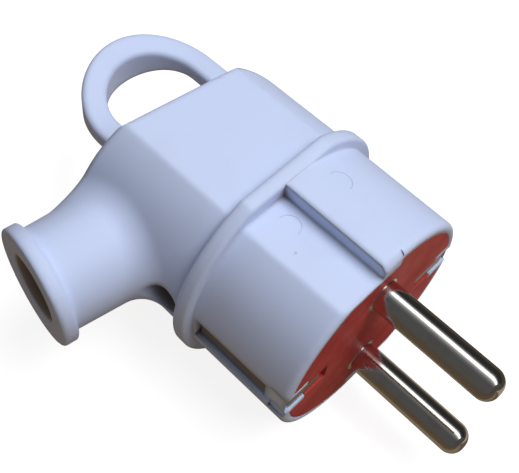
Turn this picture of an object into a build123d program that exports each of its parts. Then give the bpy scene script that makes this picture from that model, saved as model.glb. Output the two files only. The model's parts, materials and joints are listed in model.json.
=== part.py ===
from build123d import *
import os
from math import cos, radians, sin, tan

# Angled earthed mains plug with a pull ring, rewireable, lying on its flat side.
# X points along the pins, Z is the line through both pins, and the cable neck points to -Y.
# The origin is the centre of the contact face, midway between the pins. Millimetres.

# Pins
pin_diameter = 4.8
pin_spacing = 19.0
pin_length = 19.0  # from the contact face to the tip
pin_tip_radius = 2.1
pin_shank_diameter = 5.6  # in the carrier, flush with the face
terminal_diameter = 7.0
terminal_length = 9.0
wire_hole_diameter = 3.2
wire_hole_depth = 6.0

# Barrel, the part that enters the socket
barrel_radius = 18.2  # at the contact face
barrel_length = 17.5  # from the contact face to the collar
barrel_draft = 0.6  # degrees
rim = 1.4  # wall of the barrel round the contact carrier
guide_depth = 2.5  # from the barrel's crest down to the floor of a guide recess
guide_step = 1.6  # where each recess stops beside the line of the pins
guide_corner = 2.0  # the rim is thick as far as this behind the step
guide_rim = 0.7  # wall between a guide recess and the carrier
lead_in = 0.9  # chamfer at the front of each crest, beside the recess
lead_width = 3.6

# Collar
collar_step = 1.8  # how far it stands out from the barrel
collar_width = 2.4
collar_proud = 0.02  # its two flats lie this far above the barrel's crest

# Rear housing
rear_radius = 18.4
flat_depth = 2.6  # from the round side's crest down to each flat
rear_length = 39.8  # from the contact face to the rear face, on the plug's axis
lean = 9.4  # degrees that the neck and the rear face lean back
corner_start = 6.4  # from the plug's axis to the start of the round rear corner
wall = 2.2

# Cable neck
neck_inset = 7.8  # from the rear face to the neck's axis, on the plug's axis
neck_length = 13.2  # from the round side to the mouth
neck_radius = 8.3  # beside the lip
neck_taper = 1.5  # degrees
neck_blend = 5.0  # radius of the flare into the housing
lip_step = 1.2  # how far the lip stands out from the neck
lip_width = 2.4
lip_edge = 0.5
bore_radius = 5.25
mouth_chamfer = 0.5

# Pull ring
ring_inner_radius = 8.2
ring_band = 4.1
ring_stand = 10.8  # from the rear face to the ring's centre
ring_offset = 5.3  # from the plug's axis to the ring's centre
ring_root_width = 3.4  # across the band beside the housing
ring_end_width = 9.2  # across the band at its far end

# Earth contacts
slot_width = 4.8
slot_depth = 1.6
slot_length = 16.9  # from the contact face to the slot's rear end
tab_depth = 4.6  # from the barrel inwards, of the white tab at the front of a slot
tab_width = 6.2  # over both fingers of the tab
tab_drop = 0.7  # how far the tab lies below the barrel
strap_thickness = 0.8
strap_width = 4.4
strap_bend = 0.4  # inner radius
strap_gap = 0.5  # free length of slot behind the end of the strap
hook_width = 3.4  # where the strap passes between the fingers of a tab
hook_drop = 0.3  # the strap lies this far below the contact face
hook_near = 9.7  # from the plug's axis to the place where it dives behind the face

# Contact carrier
carrier_thickness = 2.8
sleeve_diameter = 7.8
sleeve_length = 4.2
barrier_height = 4.4  # from the axis to the middle of a barrier
barrier_thickness = 1.2
barrier_length = 12.0
barrier_reach = 9.0
tongue_width = 14.0
tongue_thickness = 2.6
tongue_length = 27.5  # from the contact face to the tongue's end

# Hollow of the housing
barrel_wall = 2.6
slot_wall = 2.7  # under the floor of an earth slot
boss_length = 9.0
boss_width = 11.0
boss_step = 1.0  # the pad that the tongue lies on stands this far into the room
terminal_room = 0.6  # round the screw terminals

# Screws
carrier_screw_setback = 23.3  # from the contact face
carrier_recess_diameter = 5.5
recess_wall = 1.4  # between the recess and the pad of the tongue
carrier_head_diameter = 5.0
carrier_head_height = 1.8
screw_diameter = 3.0
small_head_diameter = 5.0
small_head_height = 1.9
head_edge = 0.4
slot_cut_width = 0.8
slot_cut_depth = 0.8
terminal_screw_setback = 5.0  # from the front of a terminal
washer_size = 6.4
washer_thickness = 0.8
earth_screw_grip = 1.6  # length of the earth screw in the carrier

# Cord clamp
clamp_setback = 20.0
clamp_pitch = 10.4
clamp_length = 5.0
clamp_width = 14.0
clamp_thickness = 2.5
clamp_post_height = 3.0
clamp_post_diameter = 4.4

# Clearances and edges
slide = 0.1  # between the carrier and the housing
loose = 0.05  # round pins and screws
edge = 0.5
soft_edge = 0.8
rear_edge = 0.7

# Positions that follow from the sizes above
carrier_back = -carrier_thickness
sleeve_back = carrier_back - sleeve_length
strap_back = carrier_back - strap_thickness
collar_front = -barrel_length
collar_back = -barrel_length - collar_width
barrel_back_radius = barrel_radius + barrel_length * tan(radians(barrel_draft))
guide_height = barrel_radius - guide_depth
collar_radius = barrel_radius + collar_step
collar_height = barrel_back_radius + collar_proud
rear_height = rear_radius - flat_depth
rear_corner = rear_radius - corner_start
neck_setback = rear_length - neck_inset
neck_reach = rear_radius + neck_length
lip_radius = neck_radius + lip_step
ring_centre = (-rear_length - ring_stand, ring_offset)
slot_floor = barrel_radius - slot_depth
tab_near = barrel_radius - tab_depth
hook_far = hook_near + strap_thickness
hollow_radius = barrel_radius - barrel_wall
hollow_side = slot_floor - slot_wall
boss_height = hollow_side - boss_step
hollow_height = pin_spacing / 2 + terminal_diameter / 2 + terminal_room
carrier_recess_floor = boss_height + recess_wall
carrier_radius = barrel_radius - rim - slide
carrier_flat = guide_height - guide_rim - slide
tongue_outer = -(boss_height - slide)
tongue_inner = tongue_outer + tongue_thickness
lean_slope = tan(radians(lean))
neck_direction = (-sin(radians(lean)), -cos(radians(lean)), 0)
neck_frame = Plane(origin=(-neck_setback, 0, 0), x_dir=neck_direction, z_dir=(0, 0, -1))
neck_axis = Axis((-neck_setback, 0, 0), neck_direction)


def span_box(x, y, z):
    """A box between two values on each axis."""
    middle = [(pair[0] + pair[1]) / 2 for pair in (x, y, z)]
    size = [abs(pair[1] - pair[0]) for pair in (x, y, z)]
    return Pos(*middle) * Box(*size)


def along_x(section, start, end):
    """Extrudes a section drawn in Y and Z from one X to another."""
    return extrude(Plane.YZ.offset(start) * section, end - start)


def guided_section(radius, flat, step):
    """A disc with one quarter-flat at the top and its half-turn copy at the bottom."""
    side = 2 * radius
    cut = Pos(-side / 2 - step, flat + side / 2) * Rectangle(side, side)
    return Circle(radius) - cut - Rot(0, 0, 180) * cut


def carrier_section(gap):
    """Outline of the carrier's disc, grown by a gap, with notches for the white tabs."""
    outline = guided_section(carrier_radius + gap, carrier_flat + gap, -guide_corner)
    side = 2 * barrel_radius
    notch = Pos(tab_near + gap + side / 2, 0) * Rectangle(side, tab_width - 2 * gap)
    return outline - notch - Rot(0, 0, 180) * notch


def both_sides(piece):
    """A piece and its half-turn copy about the plug's axis."""
    return [piece, Rot(180, 0, 0) * piece]


def rear_x(y, inset=0.0):
    """X of the leaning rear face at a given Y, moved forwards by an inset."""
    return -rear_length + y * lean_slope + inset / cos(radians(lean))


def rear_plan(low, high, corner, inset):
    """Plan of the rear housing between two values of Y: leaning back, one round corner."""
    front = collar_back + collar_width / 2
    outline = Polyline(
        (front, low),
        (rear_x(low, inset), low),
        (rear_x(high, inset), high),
        (front, high),
        close=True,
    )
    plan = make_face(outline)
    far_corner = plan.vertices().sort_by(Axis.Y)[-2:].sort_by(Axis.X)[0]
    return fillet(far_corner, corner)


def rear_prism(low, high, height, corner, inset):
    """The plan of the rear housing, as thick as it is between its two flats."""
    plan = Pos(0, 0, -height) * rear_plan(low, high, corner, inset)
    return extrude(plan, 2 * height, dir=(0, 0, 1))


def rear_rod(radius):
    """Round bar for the rear housing, with spare length behind."""
    return along_x(Circle(radius), -rear_length - 2 * radius, collar_back + collar_width / 2)


def neck_blank():
    """Turned neck with a soft lip at the mouth, long enough to reach into the housing."""
    lip_back = neck_reach - lip_width
    depth = rear_radius / 2
    outline = Polyline(
        (depth, 0),
        (neck_reach, 0),
        (neck_reach, lip_radius),
        (lip_back, lip_radius),
        (lip_back, neck_radius),
        (depth, neck_radius_at(depth)),
        close=True,
    )
    profile = make_face(outline)
    profile = fillet(profile.vertices().sort_by(Axis.Y)[-2:], lip_edge)
    profile = fillet(profile.vertices().sort_by_distance((lip_back, neck_radius))[0], lip_edge)
    return revolve(neck_frame * profile, neck_axis)


def neck_radius_at(reach):
    """Radius of the tapered neck at a distance from the plug's axis."""
    return neck_radius + (neck_reach - lip_width - reach) * tan(radians(neck_taper))


def rear_body():
    """Rear housing and neck, with one fillet all round the neck's root."""
    rod = rear_rod(rear_radius)
    neck = neck_blank()
    body = rod + neck
    body = fillet(new_edges(rod, neck, combined=body), neck_blend)
    body &= rear_prism(-rear_radius - 2 * neck_length, rear_radius, rear_height, rear_corner, 0)
    edges = body.faces().filter_by(Plane.XY).edges().filter_by(Axis.X, reverse=True)
    body = fillet([e for e in edges if e.center().X < collar_back - collar_width], rear_edge)
    # the neck is wider than the rear face leaves room for, so it fades out behind that face
    depth = rear_radius / 2
    fade_end = rear_radius + neck_blend
    fade_radius = neck_inset * cos(radians(lean))
    fade = neck_frame * Pos(depth, 0) * Rot(0, 90, 0) * Cone(
        fade_radius,
        neck_radius_at(fade_end),
        fade_end - depth,
        align=(Align.CENTER, Align.CENTER, Align.MIN),
    )
    outer_part = neck - neck_frame * Box(2 * fade_end, 2 * neck_reach, 2 * neck_reach)
    return body + fade + outer_part


def ring_body():
    """Flat band bent to a loop, wider across at its far end."""
    outer = ring_inner_radius + ring_band
    cx, cy = ring_centre
    leg = rear_x(cy) + ring_band + rear_corner - cx

    def loop(radius):
        straight = Pos(leg / 2, 0) * Rectangle(leg, 2 * radius)
        return Circle(radius) + straight

    band = Pos(cx, cy) * (loop(outer) - loop(ring_inner_radius))
    plan = extrude(Pos(0, 0, -ring_end_width) * band, 2 * ring_end_width)
    end = cx - outer
    front = cx + leg
    low = TangentArc((cx, -ring_root_width / 2), (end, -ring_end_width / 2), tangent=(-1, 0))
    high = TangentArc((cx, ring_root_width / 2), (end, ring_end_width / 2), tangent=(-1, 0))
    cap = Line(low @ 1, high @ 1)
    legs = Polyline(low @ 0, (front, (low @ 0).Y), (front, (high @ 0).Y), high @ 0)
    side = make_face([low, cap, high, legs])
    wedge = extrude(Plane.XZ.offset(-cy - 2 * outer) * side, 4 * outer)
    ring = plan & wedge
    rims = [e for e in ring.edges() if abs(e.center().Z) > ring_root_width / 4]
    return fillet([e for e in rims if e.center().X < front - ring_band], soft_edge)


def hollow():
    """Room inside the housing, with the seat of the carrier at the front."""
    seat = along_x(carrier_section(slide), carrier_back, edge)
    side = Rectangle(2 * hollow_side, 2 * hollow_height)
    front = along_x(Circle(hollow_radius) & side, collar_back, carrier_back)
    inner_radius = rear_radius - wall
    rear = rear_prism(-inner_radius, inner_radius, rear_height - wall, rear_corner - wall, wall)
    rear &= rear_rod(inner_radius)
    pad = span_box(
        (-carrier_screw_setback - boss_length / 2, -carrier_screw_setback + boss_length / 2),
        (-rear_radius, -boss_height),
        (-boss_width / 2, boss_width / 2),
    )
    bore_length = neck_reach - boss_height
    bore = neck_frame * Pos(boss_height, 0) * Rot(0, 90, 0) * Cylinder(
        bore_radius, bore_length + edge, align=(Align.CENTER, Align.CENTER, Align.MIN)
    )
    mouth = neck_frame * Pos(neck_reach - mouth_chamfer, 0) * Rot(0, 90, 0) * Cone(
        bore_radius,
        bore_radius + 2 * mouth_chamfer,
        2 * mouth_chamfer,
        align=(Align.CENTER, Align.CENTER, Align.MIN),
    )
    return seat + front + (rear - pad) + bore + mouth


def earth_slots():
    """Side slots for the earth strap, each with a low tab of two fingers at the front."""
    far = 2 * barrel_radius
    half_slot = slot_width / 2
    slot = span_box((-slot_length, carrier_back + slide), (slot_floor, far), (-half_slot, half_slot))
    half_tab = tab_width / 2
    notch = span_box((carrier_back, edge), (barrel_radius - tab_drop, far), (-half_tab, half_tab))
    half_hook = hook_width / 2 + slide
    gap = span_box((carrier_back, edge), (tab_near, far), (-half_hook, half_hook))
    cuts = []
    for piece in (slot, notch, gap):
        cuts += both_sides(piece)
    return cuts


def guide_cuts():
    """The two guide recesses, and the lead-in on the crest beside each."""
    far = 2 * collar_radius
    recess = span_box((collar_front, edge), (-far, -guide_step), (guide_height, far))
    corner = Polyline(
        (-2 * lead_in, barrel_radius + lead_in),
        (lead_in, barrel_radius + lead_in),
        (lead_in, barrel_radius - 2 * lead_in),
        close=True,
    )
    lead = extrude(Plane.XZ.offset(guide_step - lead_width) * make_face(corner), lead_width)
    return both_sides(recess) + both_sides(lead)


def housing():
    """White moulded shell: barrel, collar, rear housing, neck and ring in one piece."""
    middle = collar_front / 2
    barrel = Pos(middle, 0, 0) * Rot(0, 90, 0) * Cone(barrel_back_radius, barrel_radius, barrel_length)
    barrel = fillet(barrel.edges().sort_by(Axis.X)[-1], soft_edge)
    for cut in guide_cuts():
        barrel -= cut
    flats = Rectangle(2 * collar_radius, 2 * collar_height)
    collar = along_x(Circle(collar_radius) & flats, collar_back, collar_front)
    ends = collar.edges().group_by(Axis.X)
    collar = fillet(ends[0] + ends[-1], edge)
    shell = rear_body() + collar + barrel + ring_body()
    shell -= hollow()
    for cut in earth_slots():
        shell -= cut
    reach = rear_radius + neck_radius
    recess_hole = Pos(-carrier_screw_setback, -carrier_recess_floor, 0) * Rot(90, 0, 0) * Cylinder(
        carrier_recess_diameter / 2, reach, align=(Align.CENTER, Align.CENTER, Align.MIN)
    )
    through = Pos(-carrier_screw_setback, 0, 0) * Rot(90, 0, 0) * Cylinder(
        screw_diameter / 2 + loose, rear_radius, align=(Align.CENTER, Align.CENTER, Align.MIN)
    )
    return shell - recess_hole - through


def contact_carrier():
    """Red insert: face disc, pin sleeves, barriers and the tongue for the cord clamp."""
    disc = along_x(carrier_section(0), carrier_back, 0)
    half_hook = hook_width / 2 + slide
    window = span_box(
        (carrier_back - edge, edge),
        (hook_near - slide, tab_near + edge),
        (-half_hook, half_hook),
    )
    bend_room = span_box(
        (carrier_back - edge, carrier_back + strap_bend + slide),
        (hook_near - strap_bend - slide, hook_near),
        (-half_hook, half_hook),
    )
    for cut in both_sides(window) + both_sides(bend_room):
        disc -= cut
    body = disc
    for z in (-pin_spacing / 2, pin_spacing / 2):
        body += Pos(0, 0, z) * along_x(Circle(sleeve_diameter / 2), sleeve_back, carrier_back)
    for z in (-barrier_height, barrier_height):
        body += span_box(
            (carrier_back - barrier_length, carrier_back),
            (-barrier_reach, barrier_reach),
            (z - barrier_thickness / 2, z + barrier_thickness / 2),
        )
    half_tongue = tongue_width / 2
    body += span_box(
        (-tongue_length, carrier_back),
        (tongue_outer, tongue_inner),
        (-half_tongue, half_tongue),
    )
    for z in (-clamp_pitch / 2, clamp_pitch / 2):
        body += Pos(-clamp_setback, tongue_inner, z) * Rot(-90, 0, 0) * Cylinder(
            clamp_post_diameter / 2, clamp_post_height, align=(Align.CENTER, Align.CENTER, Align.MIN)
        )
    for z in (-pin_spacing / 2, pin_spacing / 2):
        body -= Pos(0, 0, z) * along_x(Circle(pin_shank_diameter / 2 + loose), sleeve_back, edge)
    half_strap = strap_width / 2 + slide
    body -= span_box(
        (strap_back - slide, carrier_back),
        (-hook_far - slide, hook_far + slide),
        (-half_strap, half_strap),
    )
    screw_hole = Circle(screw_diameter / 2 + loose)
    body -= along_x(screw_hole, carrier_back - edge, carrier_back + earth_screw_grip)
    for z in (-clamp_pitch / 2, clamp_pitch / 2):
        body -= Pos(-clamp_setback, 0, z) * Rot(90, 0, 0) * Cylinder(
            screw_diameter / 2 + loose, barrel_radius, align=(Align.CENTER, Align.CENTER, Align.MIN)
        )
    body -= Pos(-carrier_screw_setback, 0, 0) * Rot(90, 0, 0) * Cylinder(
        screw_diameter / 2 + loose, barrel_radius, align=(Align.CENTER, Align.CENTER, Align.MIN)
    )
    return body


def pin(z):
    """Turned contact pin with its screw terminal behind the carrier."""
    contact = along_x(Circle(pin_diameter / 2), 0, pin_length)
    contact = fillet(contact.edges().sort_by(Axis.X)[-1], pin_tip_radius)
    shank = along_x(Circle(pin_shank_diameter / 2), sleeve_back, 0)
    block = along_x(Circle(terminal_diameter / 2), sleeve_back - terminal_length, sleeve_back)
    wire_hole = along_x(
        Circle(wire_hole_diameter / 2),
        sleeve_back - terminal_length,
        sleeve_back - terminal_length + wire_hole_depth,
    )
    screw_hole = Pos(sleeve_back - terminal_screw_setback, 0, 0) * Rot(90, 0, 0) * Cylinder(
        screw_diameter / 2 + loose, terminal_diameter, align=(Align.CENTER, Align.CENTER, Align.MIN)
    )
    return Pos(0, 0, z) * (contact + shank + block - wire_hole - screw_hole)


def slotted_screw(head_diameter, head_height, length):
    """Slotted screw along Z: the head sits on the plane at zero and the shank points down."""
    head = Cylinder(head_diameter / 2, head_height, align=(Align.CENTER, Align.CENTER, Align.MIN))
    head = chamfer(head.edges().sort_by(Axis.Z)[-1], head_edge)
    shank = Cylinder(screw_diameter / 2, length, align=(Align.CENTER, Align.CENTER, Align.MAX))
    cut = Pos(0, 0, head_height) * Box(head_diameter, slot_cut_width, 2 * slot_cut_depth)
    return head + shank - cut


def terminal_screws():
    """The two screws that clamp the wires in the pins."""
    x = sleeve_back - terminal_screw_setback
    seat = terminal_diameter / 2
    screw = Rot(90, 0, 0) * slotted_screw(small_head_diameter, small_head_height, seat)
    return [Pos(x, -seat, z) * screw for z in (-pin_spacing / 2, pin_spacing / 2)]


def earth_strap():
    """One bent strip: its legs are the side contacts, its hooks show in the contact face."""
    half = strap_thickness / 2
    leg = slot_floor + half
    hook = -hook_drop - half
    dive = hook_near + half
    back = carrier_back - half
    one_side = [(-slot_length + strap_gap, leg), (hook, leg), (hook, dive), (back, dive)]
    other_side = [(x, -y) for x, y in reversed(one_side)]
    path = FilletPolyline(*one_side, *other_side, radius=strap_bend + half)
    start = Plane(path @ 0, x_dir=(0, 0, 1), z_dir=path % 0)
    strip = sweep(start * Rectangle(strap_width, strap_thickness), path)
    side_cut = span_box(
        (carrier_back, edge),
        (-barrel_radius, barrel_radius),
        (hook_width / 2, strap_width),
    )
    for cut in both_sides(side_cut):
        strip -= cut
    return strip - along_x(Circle(screw_diameter / 2 + loose), strap_back - edge, carrier_back + edge)


def earth_washer():
    """Square clamping washer of the earth terminal."""
    plate = span_box(
        (strap_back - washer_thickness, strap_back),
        (-washer_size / 2, washer_size / 2),
        (-washer_size / 2, washer_size / 2),
    )
    return plate - along_x(Circle(screw_diameter / 2 + loose), strap_back - washer_thickness, strap_back)


def earth_screw():
    """Screw of the earth terminal, from behind."""
    length = washer_thickness + strap_thickness + earth_screw_grip
    screw = slotted_screw(small_head_diameter, small_head_height, length)
    return Pos(strap_back - washer_thickness, 0, 0) * Rot(0, -90, 0) * screw


def cord_clamp():
    """Bar that holds the cord against the tongue."""
    low = tongue_inner + clamp_post_height
    bar = span_box(
        (-clamp_setback - clamp_length / 2, -clamp_setback + clamp_length / 2),
        (low, low + clamp_thickness),
        (-clamp_width / 2, clamp_width / 2),
    )
    bar = fillet(bar.edges().filter_by(Axis.Y), soft_edge)
    for z in (-clamp_pitch / 2, clamp_pitch / 2):
        bar -= Pos(-clamp_setback, low, z) * Rot(-90, 0, 0) * Cylinder(
            screw_diameter / 2 + loose, clamp_thickness, align=(Align.CENTER, Align.CENTER, Align.MIN)
        )
    return bar


def cord_clamp_screws():
    """The two screws of the cord clamp."""
    seat = tongue_inner + clamp_post_height + clamp_thickness
    length = clamp_thickness + clamp_post_height + tongue_thickness / 2
    screw = Rot(-90, 0, 0) * slotted_screw(small_head_diameter, small_head_height, length)
    return [Pos(-clamp_setback, seat, z) * screw for z in (-clamp_pitch / 2, clamp_pitch / 2)]


def carrier_screw():
    """Screw beside the neck that holds the carrier in the housing."""
    length = carrier_recess_floor + tongue_inner
    screw = Rot(90, 0, 0) * slotted_screw(carrier_head_diameter, carrier_head_height, length)
    return Pos(-carrier_screw_setback, -carrier_recess_floor, 0) * screw


def save(name, piece):
    """Writes one node, as one solid or as a group of separate solids."""
    if isinstance(piece, list):
        piece = Compound(children=piece)
    export_step(piece, os.path.join("parts", name + ".step"))


os.makedirs("parts", exist_ok=True)
save("housing", housing())
save("contact_carrier", contact_carrier())
save("upper_pin", pin(pin_spacing / 2))
save("lower_pin", pin(-pin_spacing / 2))
save("terminal_screws", terminal_screws())
save("earth_strap", earth_strap())
save("earth_washer", earth_washer())
save("earth_screw", earth_screw())
save("cord_clamp", cord_clamp())
save("cord_clamp_screws", cord_clamp_screws())
save("carrier_screw", carrier_screw())
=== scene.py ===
import json
import math
import bmesh
import bpy
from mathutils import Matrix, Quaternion, Vector


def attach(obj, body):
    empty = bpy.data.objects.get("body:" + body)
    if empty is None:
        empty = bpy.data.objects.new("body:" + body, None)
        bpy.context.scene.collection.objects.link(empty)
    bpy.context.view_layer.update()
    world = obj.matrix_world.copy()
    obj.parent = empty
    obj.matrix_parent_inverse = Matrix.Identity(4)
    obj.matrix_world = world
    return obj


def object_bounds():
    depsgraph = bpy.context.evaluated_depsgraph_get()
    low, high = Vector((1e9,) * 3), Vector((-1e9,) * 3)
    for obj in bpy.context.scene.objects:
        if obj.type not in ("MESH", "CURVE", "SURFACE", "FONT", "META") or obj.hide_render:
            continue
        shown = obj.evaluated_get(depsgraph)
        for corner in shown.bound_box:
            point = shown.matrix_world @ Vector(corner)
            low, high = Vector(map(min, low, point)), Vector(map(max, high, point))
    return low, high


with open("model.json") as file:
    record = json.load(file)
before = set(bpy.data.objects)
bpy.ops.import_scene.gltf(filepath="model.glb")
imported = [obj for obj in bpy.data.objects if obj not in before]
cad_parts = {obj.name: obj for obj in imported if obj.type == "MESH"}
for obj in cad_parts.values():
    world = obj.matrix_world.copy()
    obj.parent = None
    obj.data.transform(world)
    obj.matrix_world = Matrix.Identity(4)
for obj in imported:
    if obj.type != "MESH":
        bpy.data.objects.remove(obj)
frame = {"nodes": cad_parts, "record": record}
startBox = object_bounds()
nodes = frame["nodes"]
mm = 0.001
print("frame loaded:", len(nodes), "nodes")


# helpers for building materials

def newMaterial(name):
    mat = bpy.data.materials.new(name)
    mat.use_nodes = True
    tree = mat.node_tree
    tree.nodes.clear()
    out = tree.nodes.new("ShaderNodeOutputMaterial")
    bsdf = tree.nodes.new("ShaderNodeBsdfPrincipled")
    tree.links.new(bsdf.outputs[0], out.inputs["Surface"])
    return mat, tree, bsdf


def objectCoords(tree, stretch=(1, 1, 1)):
    coord = tree.nodes.new("ShaderNodeTexCoord")
    mapping = tree.nodes.new("ShaderNodeMapping")
    mapping.inputs["Scale"].default_value = stretch
    tree.links.new(coord.outputs["Object"], mapping.inputs["Vector"])
    return mapping.outputs["Vector"]


def noise(tree, coords, scale, detail=3.0, rough=0.5):
    node = tree.nodes.new("ShaderNodeTexNoise")
    node.inputs["Scale"].default_value = scale
    node.inputs["Detail"].default_value = detail
    node.inputs["Roughness"].default_value = rough
    tree.links.new(coords, node.inputs["Vector"])
    return node.outputs["Fac"]


def spread(tree, value, low, high, fromLow=0.3, fromHigh=0.7):
    node = tree.nodes.new("ShaderNodeMapRange")
    node.inputs["From Min"].default_value = fromLow
    node.inputs["From Max"].default_value = fromHigh
    node.inputs["To Min"].default_value = low
    node.inputs["To Max"].default_value = high
    tree.links.new(value, node.inputs["Value"])
    return node.outputs["Result"]


def mixColour(tree, fac, a, b):
    node = tree.nodes.new("ShaderNodeMix")
    node.data_type = "RGBA"
    for socket, value in ((node.inputs[0], fac), (node.inputs[6], a), (node.inputs[7], b)):
        if isinstance(value, bpy.types.NodeSocket):
            tree.links.new(value, socket)
        else:
            socket.default_value = value
    return node.outputs[2]


def bumpFrom(tree, height, strength, distance, normal=None):
    node = tree.nodes.new("ShaderNodeBump")
    node.inputs["Strength"].default_value = strength
    node.inputs["Distance"].default_value = distance
    tree.links.new(height, node.inputs["Height"])
    if normal is not None:
        tree.links.new(normal, node.inputs["Normal"])
    return node.outputs["Normal"]


def softEdges(tree, radius, samples=6):
    node = tree.nodes.new("ShaderNodeBevel")
    node.samples = samples
    node.inputs["Radius"].default_value = radius
    return node.outputs["Normal"]


edgeRange = (0.7, 0.98)  # cosine between both normals at a full edge and at none


def edgeMask(tree, radius):
    # how far the rounded normal leaves the true one, which is high along edges only
    bevel = softEdges(tree, radius)
    geo = tree.nodes.new("ShaderNodeNewGeometry")
    dot = tree.nodes.new("ShaderNodeVectorMath")
    dot.operation = "DOT_PRODUCT"
    tree.links.new(bevel, dot.inputs[0])
    tree.links.new(geo.outputs["Normal"], dot.inputs[1])
    return spread(tree, dot.outputs["Value"], 1.0, 0.0, *edgeRange)


def hollowMask(tree, look):
    # high deep inside bores and slots, zero on open faces: it sets where the painted shade in hollows
    # goes
    node = tree.nodes.new("ShaderNodeAmbientOcclusion")
    node.samples = 16
    node.only_local = True
    node.inputs["Distance"].default_value = look["hollowReach"]
    return spread(tree, node.outputs["AO"], 1.0, 0.0, *look["hollowRange"])


def vectorStep(tree, operation, vector, value=None):
    node = tree.nodes.new("ShaderNodeVectorMath")
    node.operation = operation
    tree.links.new(vector, node.inputs[0])
    if value is not None:
        node.inputs[1].default_value = value
    return node


def boreMask(tree, coords, look):
    # one on the wall of the cable bore, close to its axis and near the mouth, where painted shade goes
    away = vectorStep(tree, "SUBTRACT", coords, look["boreCentre"]).outputs["Vector"]
    across = vectorStep(tree, "CROSS_PRODUCT", away, look["boreAxis"]).outputs["Vector"]
    radius = vectorStep(tree, "LENGTH", across).outputs["Value"]
    along = vectorStep(tree, "DOT_PRODUCT", away, look["boreAxis"]).outputs["Value"]
    both = tree.nodes.new("ShaderNodeMath")
    both.operation = "MULTIPLY"
    tree.links.new(spread(tree, radius, 1.0, 0.0, *look["boreReach"]), both.inputs[0])
    tree.links.new(spread(tree, along, 0.0, 1.0, *look["boreDepth"]), both.inputs[1])
    return both.outputs["Value"]


def speckMask(tree, coords, look):
    # one at a small dark speck on the guide floor
    away = vectorStep(tree, "SUBTRACT", coords, look["speckPlace"]).outputs["Vector"]
    distance = vectorStep(tree, "LENGTH", away).outputs["Value"]
    return spread(tree, distance, 1.0, 0.0, *look["speckReach"])


# white shell: a satin moulding with a cold tint, with painted shade inside the cable bore and in
# hollows, and a painted highlight along edges
# in every look, a noise is its scale and detail, and a bump its strength and depth

shellLook = {
    "colour": (0.605, 0.70, 0.965, 1),
    "patchToneAndPaleEdges": (0.57, 0.655, 0.89, 1),
    # paler edge colour: painted highlight along the shell's edges
    "edge": (0.67, 0.76, 0.97, 1),
    # colour of the painted shade in hollows and tight corners
    "hollowShade": (0.20, 0.15, 0.125, 1),
    # colour of the painted shade on the cable bore's wall
    "bore": (0.38, 0.30, 0.26, 1),
    "boreCentre": (-35.92 * mm, -23.68 * mm, 0),
    "boreAxis": (-0.1633, -0.9866, 0),
    "boreReach": (5.3 * mm, 5.6 * mm),
    "boreDepth": (-12 * mm, -10 * mm),
    "hollowReach": 14 * mm,
    "hollowRange": (0.25, 0.45),
    "speck": (0.44, 0.50, 0.67, 1),
    "speckPlace": (-10.34 * mm, -7.04 * mm, 15.7 * mm),
    "speckReach": (0.10 * mm, 0.32 * mm),
    "roughness": (0.42, 0.52),
    "edgeRadius": 0.8 * mm,
    "softRadius": 1.4 * mm,
    "patches": (90, 4.0),
    "wornRange": (0.5, 0.8),
    "grain": (2600, 2.0),
    "grainBump": (0.10, 0.03 * mm),
    "sink": (120, 1.0),
    "sinkBump": (0.12, 0.4 * mm),
    "specular": 0.5,
}


def shellMaterial(look):
    mat, tree, bsdf = newMaterial("moulded white shell")
    coords = objectCoords(tree)
    patches = noise(tree, coords, *look["patches"])
    grain = noise(tree, coords, *look["grain"])
    sink = noise(tree, coords, *look["sink"])
    wear = spread(tree, patches, 0.0, 1.0, *look["wornRange"])
    tone = mixColour(tree, wear, look["colour"], look["patchToneAndPaleEdges"])
    # paler along edges: painted highlight
    patchToneAndPaleEdges = mixColour(tree, edgeMask(tree, look["edgeRadius"]), tone, look["edge"])
    spotted = mixColour(tree, speckMask(tree, coords, look), patchToneAndPaleEdges, look["speck"])
    # painted shade on the cable bore's wall
    dull = mixColour(tree, boreMask(tree, coords, look), spotted, look["bore"])
    # painted shade in hollows and corners, where the occlusion mask is high
    withHollowShade = mixColour(tree, hollowMask(tree, look), dull, look["hollowShade"])
    tree.links.new(withHollowShade, bsdf.inputs["Base Color"])
    tree.links.new(spread(tree, patches, *look["roughness"]), bsdf.inputs["Roughness"])
    normal = softEdges(tree, look["softRadius"], 8)
    normal = bumpFrom(tree, sink, *look["sinkBump"], normal)
    normal = bumpFrom(tree, grain, *look["grainBump"], normal)
    tree.links.new(normal, bsdf.inputs["Normal"])
    bsdf.inputs["Specular IOR Level"].default_value = look["specular"]
    return mat


# red insert: duller moulding with fine pores

insertLook = {
    "colour": (0.55, 0.062, 0.060, 1),
    "dark": (0.44, 0.044, 0.046, 1),
    "edge": (0.62, 0.13, 0.12, 1),
    "roughness": (0.42, 0.56),
    "specular": 0.12,
    "edgeRadius": 0.2 * mm,
    "patches": (160, 5.0),
    "waves": (700, 2.0),
    "wavesBump": (0.30, 0.12 * mm),
    "grain": (3200, 2.0),
    "grainBump": (0.18, 0.03 * mm),
}


def insertMaterial(look):
    mat, tree, bsdf = newMaterial("moulded red insert")
    coords = objectCoords(tree)
    patches = noise(tree, coords, *look["patches"])
    waves = noise(tree, coords, *look["waves"])
    grain = noise(tree, coords, *look["grain"])
    tone = mixColour(tree, spread(tree, patches, 0.0, 1.0), look["colour"], look["dark"])
    # paler along edges
    patchToneAndPaleEdges = mixColour(tree, edgeMask(tree, look["edgeRadius"]), tone, look["edge"])
    tree.links.new(patchToneAndPaleEdges, bsdf.inputs["Base Color"])
    tree.links.new(spread(tree, patches, *look["roughness"]), bsdf.inputs["Roughness"])
    normal = softEdges(tree, look["edgeRadius"])
    normal = bumpFrom(tree, waves, *look["wavesBump"], normal)
    normal = bumpFrom(tree, grain, *look["grainBump"], normal)
    tree.links.new(normal, bsdf.inputs["Normal"])
    bsdf.inputs["Specular IOR Level"].default_value = look["specular"]
    return mat


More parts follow.
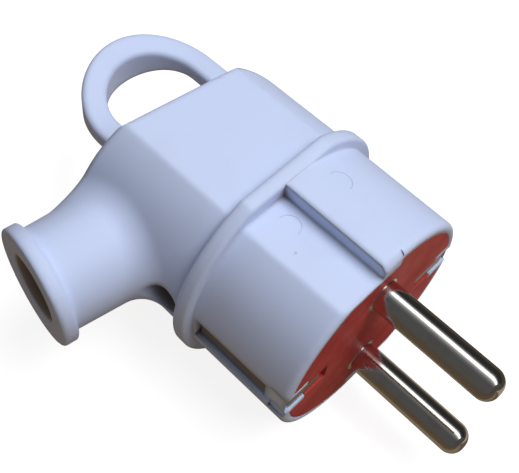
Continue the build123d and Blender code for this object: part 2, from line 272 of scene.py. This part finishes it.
# plated pins: bright nickel with fine marks along the pin

pinLook = {
    "colour": (0.72, 0.71, 0.685, 1),
    "rubbed": (0.60, 0.57, 0.50, 1),
    "roughness": (0.09, 0.13),
    "edgeRadius": 0.15 * mm,
    "lengthwise": (0.06, 1, 1),
    "streaks": (2400, 3.0),
    "streaksBump": (0.02, 0.02 * mm),
    "blotch": (260, 4.0),
    "rubbedRange": (0.5, 0.8),
}


def pinMaterial(look):
    mat, tree, bsdf = newMaterial("bright nickel plating")
    along = objectCoords(tree, look["lengthwise"])
    coords = objectCoords(tree)
    streaks = noise(tree, along, *look["streaks"])
    blotch = noise(tree, coords, *look["blotch"])
    wear = spread(tree, blotch, 0.0, 1.0, *look["rubbedRange"])
    tone = mixColour(tree, wear, look["colour"], look["rubbed"])
    tree.links.new(tone, bsdf.inputs["Base Color"])
    bsdf.inputs["Metallic"].default_value = 1.0
    tree.links.new(spread(tree, blotch, *look["roughness"]), bsdf.inputs["Roughness"])
    normal = softEdges(tree, look["edgeRadius"])
    normal = bumpFrom(tree, streaks, *look["streaksBump"], normal)
    tree.links.new(normal, bsdf.inputs["Normal"])
    return mat


# earth strip and screws: plain rolled and plated metal

metalSkin = {
    "edgeRadius": 0.12 * mm,
    "blotch": (420, 4.0),
    "grain": (4000, 2.0),
    "grainBump": (0.12, 0.02 * mm),
}
metalLooks = {
    "earth_brass": {
        "name": "dull brass strip",
        "colour": (0.43, 0.40, 0.37, 1),
        "rubbed": (0.52, 0.485, 0.44, 1),
        "roughness": (0.38, 0.52),
    },
    "screw_steel": {
        "name": "zinc plated screw",
        "colour": (0.52, 0.52, 0.53, 1),
        "rubbed": (0.40, 0.40, 0.39, 1),
        "roughness": (0.25, 0.40),
    },
}


def metalMaterial(look, skin):
    mat, tree, bsdf = newMaterial(look["name"])
    coords = objectCoords(tree)
    blotch = noise(tree, coords, *skin["blotch"])
    grain = noise(tree, coords, *skin["grain"])
    tone = mixColour(tree, spread(tree, blotch, 0.0, 1.0), look["colour"], look["rubbed"])
    tree.links.new(tone, bsdf.inputs["Base Color"])
    bsdf.inputs["Metallic"].default_value = 1.0
    tree.links.new(spread(tree, blotch, *look["roughness"]), bsdf.inputs["Roughness"])
    normal = softEdges(tree, skin["edgeRadius"])
    normal = bumpFrom(tree, grain, *skin["grainBump"], normal)
    tree.links.new(normal, bsdf.inputs["Normal"])
    return mat


finishes = {
    "shell": shellMaterial(shellLook),
    "insert": insertMaterial(insertLook),
    "plated_pin": pinMaterial(pinLook),
    "earth_brass": metalMaterial(metalLooks["earth_brass"], metalSkin),
    "screw_steel": metalMaterial(metalLooks["screw_steel"], metalSkin),
}
for part in frame["record"]["subparts"]:
    mesh = nodes[part["node"]].data
    mesh.materials.clear()
    mesh.materials.append(finishes[part["material_slot"]])
print("materials:", len(finishes))


# ejector marks: a faint half ring on the panel and one on the guide floor, each only on its +Y half,
# the side of the real shallow pit whose wall lies in shade; their darker colour is painted shade

markSet = {
    "centres": [(-13.7 * mm, -4.65 * mm, 16.5 * mm), (-13.1 * mm, 4.5 * mm, 18.5 * mm)],
    "markRadius": 1.7 * mm,
    "lineRadius": 0.12 * mm,
    "sink": -0.06 * mm,
    "edgeRadius": 0.02 * mm,
    # darker than the shell: painted shade standing for the shaded wall of each pit
    "colour": (0.50, 0.58, 0.80, 1),
}


def markTree():
    tree = bpy.data.node_groups.new("ejector marks", "GeometryNodeTree")
    face = tree.interface
    face.new_socket("Geometry", in_out="INPUT", socket_type="NodeSocketGeometry")
    ids = {}
    for label, kind in (("Shell", "NodeSocketObject"), ("Mark Radius", "NodeSocketFloat"),
                        ("Line Radius", "NodeSocketFloat"), ("Sink", "NodeSocketFloat"),
                        ("Finish", "NodeSocketMaterial")):
        ids[label] = face.new_socket(label, in_out="INPUT", socket_type=kind).identifier
    face.new_socket("Geometry", in_out="OUTPUT", socket_type="NodeSocketGeometry")
    add, link = tree.nodes.new, tree.links.new
    given, result = add("NodeGroupInput"), add("NodeGroupOutput")
    ring = add("GeometryNodeCurvePrimitiveCircle")
    ring.inputs["Resolution"].default_value = 64
    # only the half of each ring towards +Y, where the pit's wall is in shade
    half = add("GeometryNodeTrimCurve")
    half.inputs["Start"].default_value = 0.0
    half.inputs["End"].default_value = 0.5
    spots = add("GeometryNodeInstanceOnPoints")
    loose = add("GeometryNodeRealizeInstances")
    place = add("GeometryNodeInputPosition")
    shell = add("GeometryNodeObjectInfo")
    drop = add("GeometryNodeRaycast")
    drop.inputs["Ray Direction"].default_value = (0, 0, -1)
    drop.inputs["Ray Length"].default_value = 0.01
    sink = add("ShaderNodeVectorMath")
    sink.operation = "SCALE"
    lay = add("GeometryNodeSetPosition")
    line = add("GeometryNodeCurvePrimitiveCircle")
    line.inputs["Resolution"].default_value = 8
    tube = add("GeometryNodeCurveToMesh")
    tube.inputs["Fill Caps"].default_value = True
    solid = add("GeometryNodeRealizeInstances")
    paint = add("GeometryNodeSetMaterial")
    link(given.outputs["Mark Radius"], ring.inputs["Radius"])
    link(ring.outputs["Curve"], half.inputs["Curve"])
    link(given.outputs["Geometry"], spots.inputs["Points"])
    link(half.outputs["Curve"], spots.inputs["Instance"])
    link(spots.outputs["Instances"], loose.inputs["Geometry"])
    link(given.outputs["Shell"], shell.inputs["Object"])
    link(shell.outputs["Geometry"], drop.inputs["Target Geometry"])
    link(place.outputs["Position"], drop.inputs["Source Position"])
    link(drop.outputs["Hit Normal"], sink.inputs[0])
    link(given.outputs["Sink"], sink.inputs["Scale"])
    link(loose.outputs["Geometry"], lay.inputs["Geometry"])
    link(drop.outputs["Hit Position"], lay.inputs["Position"])
    link(sink.outputs["Vector"], lay.inputs["Offset"])
    link(given.outputs["Line Radius"], line.inputs["Radius"])
    link(lay.outputs["Geometry"], tube.inputs["Curve"])
    link(line.outputs["Curve"], tube.inputs["Profile Curve"])
    link(tube.outputs["Mesh"], solid.inputs["Geometry"])
    link(solid.outputs["Geometry"], paint.inputs["Geometry"])
    link(given.outputs["Finish"], paint.inputs["Material"])
    link(paint.outputs["Geometry"], result.inputs["Geometry"])
    return tree, ids


def makeMarks(settings):
    mesh = bpy.data.meshes.new("mark centres")
    mesh.from_pydata(settings["centres"], [], [])
    base = bpy.data.objects.new("mark centres", mesh)
    bpy.context.scene.collection.objects.link(base)
    tree, ids = markTree()
    mod = base.modifiers.new("marks", "NODES")
    mod.node_group = tree
    mod[ids["Shell"]] = nodes["housing"]
    mod[ids["Mark Radius"]] = settings["markRadius"]
    mod[ids["Line Radius"]] = settings["lineRadius"]
    mod[ids["Sink"]] = settings["sink"]
    edge = settings["edgeRadius"]
    look = dict(shellLook, colour=settings["colour"], edgeRadius=edge, softRadius=edge)
    mod[ids["Finish"]] = shellMaterial(look)
    ready = base.evaluated_get(bpy.context.evaluated_depsgraph_get())
    made = bpy.data.meshes.new_from_object(ready)
    base.modifiers.remove(mod)
    bpy.data.objects.remove(base)
    for poly in made.polygons:
        poly.use_smooth = True
    marks = bpy.data.objects.new("ejector_marks", made)
    bpy.context.scene.collection.objects.link(marks)
    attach(marks, "root")
    print("ejector marks:", len(made.polygons), "faces")


makeMarks(markSet)


# thin webs that close the outer side of the gap between the fingers of each earth slot

webSet = {
    "rear": -3.9 * mm,
    "step": -2.75 * mm,  # the fingers start here
    "front": -0.3 * mm,
    "slotHalf": 2.35 * mm,
    "gapHalf": 1.72 * mm,
    "out": (17.42 * mm, 17.52 * mm),
    # lighter than the shell: painted light, for the light the webs catch
    "colour": (0.68, 0.79, 1.0, 1),
    # the painted hollow shade is set close to the web's colour, so it hardly darkens the webs
    "hollowShade": (0.66, 0.77, 1.0, 1),
}


def makeWebs(settings):
    rear, step, front = settings["rear"], settings["step"], settings["front"]
    wide, slim = settings["slotHalf"], settings["gapHalf"]
    outline = [(rear, -wide), (step, -wide), (step, -slim), (front, -slim),
               (front, slim), (step, slim), (step, wide), (rear, wide)]
    shape = bmesh.new()
    for side in (-1, 1):
        low, high = [[shape.verts.new((x, side * y, z)) for x, z in outline] for y in settings["out"]]
        shape.faces.new(low)
        shape.faces.new(high)
        for i in range(len(outline)):
            shape.faces.new((low[i - 1], low[i], high[i], high[i - 1]))
    bmesh.ops.recalc_face_normals(shape, faces=shape.faces)
    mesh = bpy.data.meshes.new("slot_webs")
    shape.to_mesh(mesh)
    shape.free()
    look = dict(shellLook, colour=settings["colour"], hollowShade=settings["hollowShade"])
    mesh.materials.append(shellMaterial(look))
    webs = bpy.data.objects.new("slot_webs", mesh)
    bpy.context.scene.collection.objects.link(webs)
    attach(webs, "root")
    print("slot webs:", len(mesh.polygons), "faces")


makeWebs(webSet)


# studio: pale floor, one softbox overhead, dark cards and a tan mat for the metal to mirror

studio = {
    "floorLevel": startBox[0].z,
    "floorSize": 0.6,
    "floorTan": (0.415, 0.285, 0.155, 1),
    "floorWhite": (0.37, 0.37, 0.37, 1),
    "floorGlow": 0.85,
    "skyLevel": 0.16,
    "skyColour": (0.97, 0.98, 1.0, 1),
    "keyPower": 2.95,
    "keyPlace": (0.12, 0.161, 0.512),
    "keyAim": (-0.02, 0, 0),
    "keySize": (0.60, 0.234),
    "tentRadius": 0.42,
    "tentHalfLength": 0.6,
    # degrees from straight up, towards +Y, and the card's colour there
    "cards": [
        (-94, -78, (0.10, 0.085, 0.065, 1)),
        (-78, -22, (0.090, 0.090, 0.092, 1)),
        (-22, -9, (0.14, 0.14, 0.145, 1)),
        (-9, 1, (0.30, 0.30, 0.31, 1)),
        (1, 8, (0.62, 0.62, 0.63, 1)),
        (8, 28, (2.0, 2.0, 2.0, 1)),
        (28, 34, (0.50, 0.50, 0.50, 1)),
        (34, 42, (0.14, 0.14, 0.14, 1)),
        (42, 84, (0.030, 0.030, 0.031, 1)),
        (84, 94, (0.06, 0.055, 0.048, 1)),
    ],
    "endCard": (0.08, 0.075, 0.07, 1),
    "cardLift": 0.05 * mm,  # the low cards lie this far above the floor
    # the table as metal and gloss see it, in strips from the neck's side to the other; the strips glow,
    # and their brightness is painted light and shade on the table, the dark strip on the neck's side
    # being the plug's painted shadow
    "tableCards": [
        (-0.42, -0.04, (0.095, 0.078, 0.060, 1)),
        (-0.04, -0.012, (0.125, 0.082, 0.047, 1)),
        (-0.012, 0.0, (0.23, 0.185, 0.125, 1)),
        (0.0, 0.012, (0.14, 0.105, 0.075, 1)),
        (0.012, 0.034, (0.42, 0.35, 0.28, 1)),
        (0.034, 0.42, (0.085, 0.068, 0.052, 1)),
    ],
}


def seenRays(tree):
    # camera, mirror and glass rays see the pale backdrop
    path = tree.nodes.new("ShaderNodeLightPath")
    first = tree.nodes.new("ShaderNodeMath")
    first.operation = "MAXIMUM"
    second = tree.nodes.new("ShaderNodeMath")
    second.operation = "MAXIMUM"
    tree.links.new(path.outputs["Is Camera Ray"], first.inputs[0])
    tree.links.new(path.outputs["Is Glossy Ray"], first.inputs[1])
    tree.links.new(first.outputs[0], second.inputs[0])
    tree.links.new(path.outputs["Is Transmission Ray"], second.inputs[1])
    return second.outputs[0]


def makeWorld(settings):
    world = bpy.data.worlds.new("soft room")
    world.use_nodes = True
    tree = world.node_tree
    tree.nodes.clear()
    out = tree.nodes.new("ShaderNodeOutputWorld")
    mix = tree.nodes.new("ShaderNodeMixShader")
    room = tree.nodes.new("ShaderNodeBackground")
    room.inputs["Color"].default_value = settings["skyColour"]
    room.inputs["Strength"].default_value = settings["skyLevel"]
    white = tree.nodes.new("ShaderNodeBackground")
    white.inputs["Color"].default_value = (1, 1, 1, 1)
    white.inputs["Strength"].default_value = 1.0
    tree.links.new(seenRays(tree), mix.inputs[0])
    tree.links.new(room.outputs[0], mix.inputs[1])
    tree.links.new(white.outputs[0], mix.inputs[2])
    tree.links.new(mix.outputs[0], out.inputs["Surface"])
    bpy.context.scene.world = world


def planeObject(name, corners, mat):
    mesh = bpy.data.meshes.new(name)
    mesh.from_pydata(corners, [], [tuple(range(len(corners)))])
    obj = bpy.data.objects.new(name, mesh)
    bpy.context.scene.collection.objects.link(obj)
    mesh.materials.append(mat)
    return obj


def mirrorOnly(obj):
    # the card shows in reflections and neither lights nor shades the plug
    obj.visible_camera = False
    obj.visible_diffuse = False
    obj.visible_transmission = False
    obj.visible_shadow = False


def stageMaterial(name):
    mat = bpy.data.materials.new(name)
    mat.use_nodes = True
    mat.node_tree.nodes.clear()
    out = mat.node_tree.nodes.new("ShaderNodeOutputMaterial")
    return mat, mat.node_tree, out.inputs["Surface"]


def makeFloor(settings):
    mat, tree, surface = stageMaterial("pale floor")
    mix = tree.nodes.new("ShaderNodeMixShader")
    tan = tree.nodes.new("ShaderNodeBsdfDiffuse")
    tan.inputs["Color"].default_value = settings["floorTan"]
    white = tree.nodes.new("ShaderNodeBsdfDiffuse")
    white.inputs["Color"].default_value = settings["floorWhite"]
    glow = tree.nodes.new("ShaderNodeEmission")
    glow.inputs["Strength"].default_value = settings["floorGlow"]
    both = tree.nodes.new("ShaderNodeAddShader")
    tree.links.new(white.outputs[0], both.inputs[0])
    tree.links.new(glow.outputs[0], both.inputs[1])
    tree.links.new(seenRays(tree), mix.inputs[0])
    tree.links.new(tan.outputs[0], mix.inputs[1])
    tree.links.new(both.outputs[0], mix.inputs[2])
    tree.links.new(mix.outputs[0], surface)
    s, z = settings["floorSize"], settings["floorLevel"]
    planeObject("floor", [(-s, -s, z), (s, -s, z), (s, s, z), (-s, s, z)], mat)


def makeKey(settings):
    lamp = bpy.data.lights.new("overhead softbox", "AREA")
    lamp.shape = "RECTANGLE"
    lamp.size, lamp.size_y = settings["keySize"]
    lamp.energy = settings["keyPower"]
    obj = bpy.data.objects.new("overhead softbox", lamp)
    bpy.context.scene.collection.objects.link(obj)
    obj.location = settings["keyPlace"]
    aim = Vector(settings["keyAim"]) - obj.location
    obj.rotation_mode = "QUATERNION"
    obj.rotation_quaternion = aim.to_track_quat("-Z", "Y")
    obj.visible_glossy = False  # the tent's bright card stands in for it in reflections


def mirrorCard(name, corners, colour):
    mat, tree, surface = stageMaterial(name)
    glow = tree.nodes.new("ShaderNodeEmission")
    glow.inputs["Color"].default_value = colour
    tree.links.new(glow.outputs[0], surface)
    mirrorOnly(planeObject(name, corners, mat))


def makeCards(settings):
    r, half = settings["tentRadius"], settings["tentHalfLength"]
    z = settings["floorLevel"] + settings["cardLift"]
    for start, end, colour in settings["cards"]:
        ya, za = r * math.sin(math.radians(start)), r * math.cos(math.radians(start))
        yb, zb = r * math.sin(math.radians(end)), r * math.cos(math.radians(end))
        corners = [(-half, ya, za), (half, ya, za), (half, yb, zb), (-half, yb, zb)]
        mirrorCard("tent card", corners, colour)
    for x in (-half, half):
        mirrorCard("end card", [(x, -r, z), (x, r, z), (x, r, r), (x, -r, r)], settings["endCard"])
    for ya, yb, colour in settings["tableCards"]:
        mirrorCard("table card", [(-half, ya, z), (half, ya, z), (half, yb, z), (-half, yb, z)], colour)


makeWorld(studio)
makeFloor(studio)
makeKey(studio)
makeCards(studio)
print("studio ready")


# camera, set to the photograph's view

cameraSet = {
    "place": (0.025238, -0.063286, 0.127176),
    "turn": (0.869507, 0.298479, 0.115349, 0.376248),
    "lens": 68.4994,
    "shift": (0.13005, -0.21195),
}


def makeCamera(settings):
    data = bpy.data.cameras.new("camera")
    data.sensor_fit = "HORIZONTAL"
    data.sensor_width = 36
    data.lens = settings["lens"]
    data.shift_x, data.shift_y = settings["shift"]
    data.clip_start = 0.005
    data.clip_end = 50
    obj = bpy.data.objects.new("camera", data)
    bpy.context.scene.collection.objects.link(obj)
    obj.location = settings["place"]
    obj.rotation_mode = "QUATERNION"
    obj.rotation_quaternion = Quaternion(settings["turn"])
    bpy.context.scene.camera = obj


makeCamera(cameraSet)
bpy.context.scene.view_settings.view_transform = "Standard"
print("camera set")
